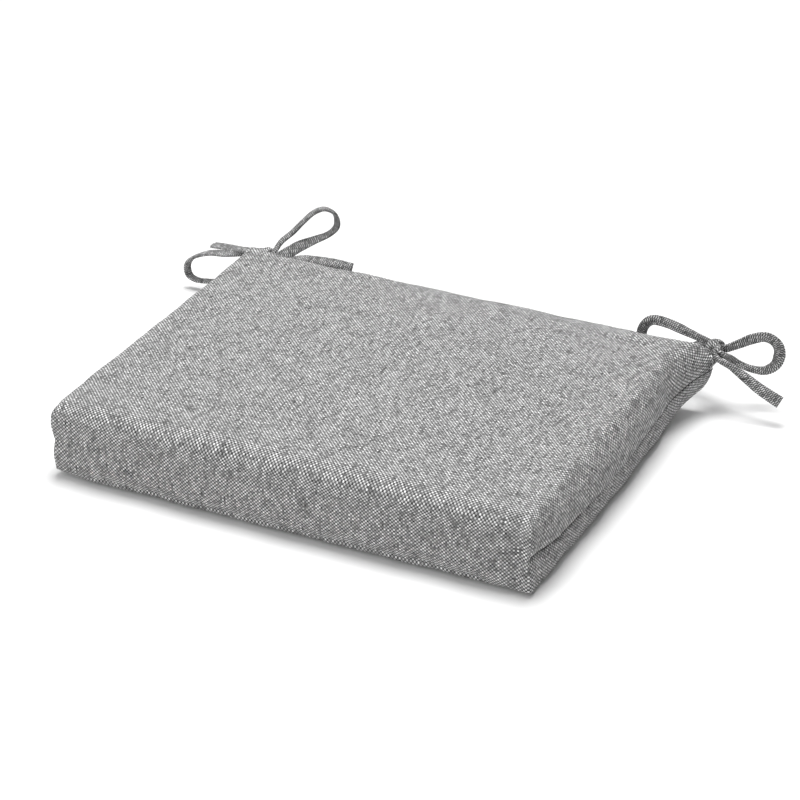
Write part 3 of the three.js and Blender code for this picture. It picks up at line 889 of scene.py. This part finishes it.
def stitch(first, second):
    """One short stitch between two places: a thin rod with pinched ends."""
    along = unit(second - first)
    one = unit(np.cross(along, NO_SEAM_RUNS))
    two = np.cross(along, one)
    sides = STITCH_SIDES
    points, faces = [], []
    for share, size in STITCH_SHAPE:
        for i in range(sides):
            angle = 2 * math.pi * i / sides
            rim = (math.cos(angle) * one + math.sin(angle) * two) * size * THREAD / 2
            points.append(first + (second - first) * share + rim)
    for ring in range(len(STITCH_SHAPE) - 1):
        for i in range(sides):
            k = (i + 1) % sides
            here, there = ring * sides, (ring + 1) * sides
            faces.append((here + i, here + k, there + k, there + i))
    faces.append(tuple(range(sides - 1, -1, -1)))
    faces.append(tuple(range(len(points) - sides, len(points))))
    return points, faces


def sew(name, line):
    """A row of stitches along a line of places on the cover."""
    places, _ = smooth_line(line, STITCH)
    points, faces = [], []
    for first, second in zip(places, places[1:]):
        more, more_faces = stitch(first, second)
        faces.extend(tuple(i + len(points) for i in face) for face in more_faces)
        points.extend(more)
    make_piece(name.replace("thread", "stitches"), points, faces, THREAD_AND_PAINTED_SHADE_FINISH, [name])


def seam_line(chosen, axis, proud):
    """Places on the cover along a seam, in order, moved out by proud and sunk far from the corners."""
    found = np.flatnonzero(chosen)
    found = found[np.argsort(cover_block[found, axis])]
    shows = np.interp(cover_block[found, 1], (FRONT_Y, BACK_Y), THREAD_SHOWS)
    sunk = THREAD_SUNK * (1 - np.exp(-(from_upright_edge(cover_block[found]) / shows) ** 4))
    places = []
    for point, depth in zip(cover_points[found], sunk):
        place, out, _, _ = cover_surface.find_nearest(Vector(point))
        places.append(place + out * (proud - depth))
    return places


level = np.abs(cover_block[:, 2] - SEAM_Z) < SAME_PLACE
on_back = np.abs(cover_block[:, 1] - BACK_Y) < SAME_PLACE
on_front = np.abs(cover_block[:, 1] - FRONT_Y) < SAME_PLACE
between = (cover_block[:, 2] > CORNER_THREAD_ENDS[0]) & (cover_block[:, 2] < CORNER_THREAD_ENDS[1])
sew("back_seam_thread", seam_line(level & on_back, 0, THREAD_PROUD))
for side, sign in (("left", -1), ("right", 1)):
    on_side = np.abs(cover_block[:, 0] - sign * HALF_WIDTH) < SAME_PLACE
    sew(f"side_seam_thread_{side}", seam_line(level & on_side, 1, THREAD_PROUD))
    for end, on_end in (("front", on_front), ("back", on_back)):
        upright = seam_line(between & on_side & on_end, 2, -CORNER_THREAD_SUNK)
        sew(f"corner_seam_thread_{end}_{side}", upright)

# ---- Floor and light ------------------------------------------------------

FLOOR_REACH = 6
FLOOR_GREY = 0.9
DIM_SIDE = (0.87, 0.5, 0)


def make_floor():
    corners = [(x * FLOOR_REACH, y * FLOOR_REACH, 0) for x, y in ((-1, -1), (1, -1), (1, 1), (-1, 1))]
    mesh = bpy.data.meshes.new("floor")
    mesh.from_pydata(corners, [], [(0, 1, 2, 3)])
    floor = bpy.data.objects.new("floor", mesh)
    bpy.context.collection.objects.link(floor)
    n = Nodes("floor")
    n.set(n.shader.inputs["Base Color"], grey(FLOOR_GREY))
    n.set(n.shader.inputs["Roughness"], 0.9)
    mesh.materials.append(n.material)


def make_area_light(name, place, target, size, power):
    data = bpy.data.lights.new(name, "AREA")
    data.shape = "SQUARE"
    data.size = size
    data.energy = power
    light = bpy.data.objects.new(name, data)
    light.location = place
    light.rotation_mode = "QUATERNION"
    light.rotation_quaternion = (Vector(target) - Vector(place)).to_track_quat("-Z", "Y")
    bpy.context.collection.objects.link(light)


def make_world(strength, dimmed):
    """White all round, and darker by the dimmed share towards DIM_SIDE, the right and the back."""
    world = bpy.data.worlds.new("studio")
    world.use_nodes = True
    nodes, links = world.node_tree.nodes, world.node_tree.links
    direction = nodes.new("ShaderNodeTexCoord").outputs["Generated"]
    towards = nodes.new("ShaderNodeVectorMath")
    towards.operation = "DOT_PRODUCT"
    towards.inputs[1].default_value = DIM_SIDE
    level = nodes.new("ShaderNodeMath")
    level.operation = "MULTIPLY_ADD"
    level.inputs[1].default_value = -strength * dimmed
    level.inputs[2].default_value = strength
    links.new(direction, towards.inputs[0])
    links.new(towards.outputs["Value"], level.inputs[0])
    links.new(level.outputs[0], nodes["Background"].inputs["Strength"])
    nodes["Background"].inputs["Color"].default_value = (1, 1, 1, 1)
    bpy.context.scene.world = world


make_floor()
make_area_light("key", place=(-0.08, 0.3, 2.6), target=(0, 0, 0), size=1.15, power=70)
make_area_light("fill", place=(-1.2, -2.2, 1.3), target=(0, 0, 0.03), size=1.2, power=12.3)
make_world(strength=0.41, dimmed=0.58)
bpy.context.scene.view_settings.view_transform = "Standard"
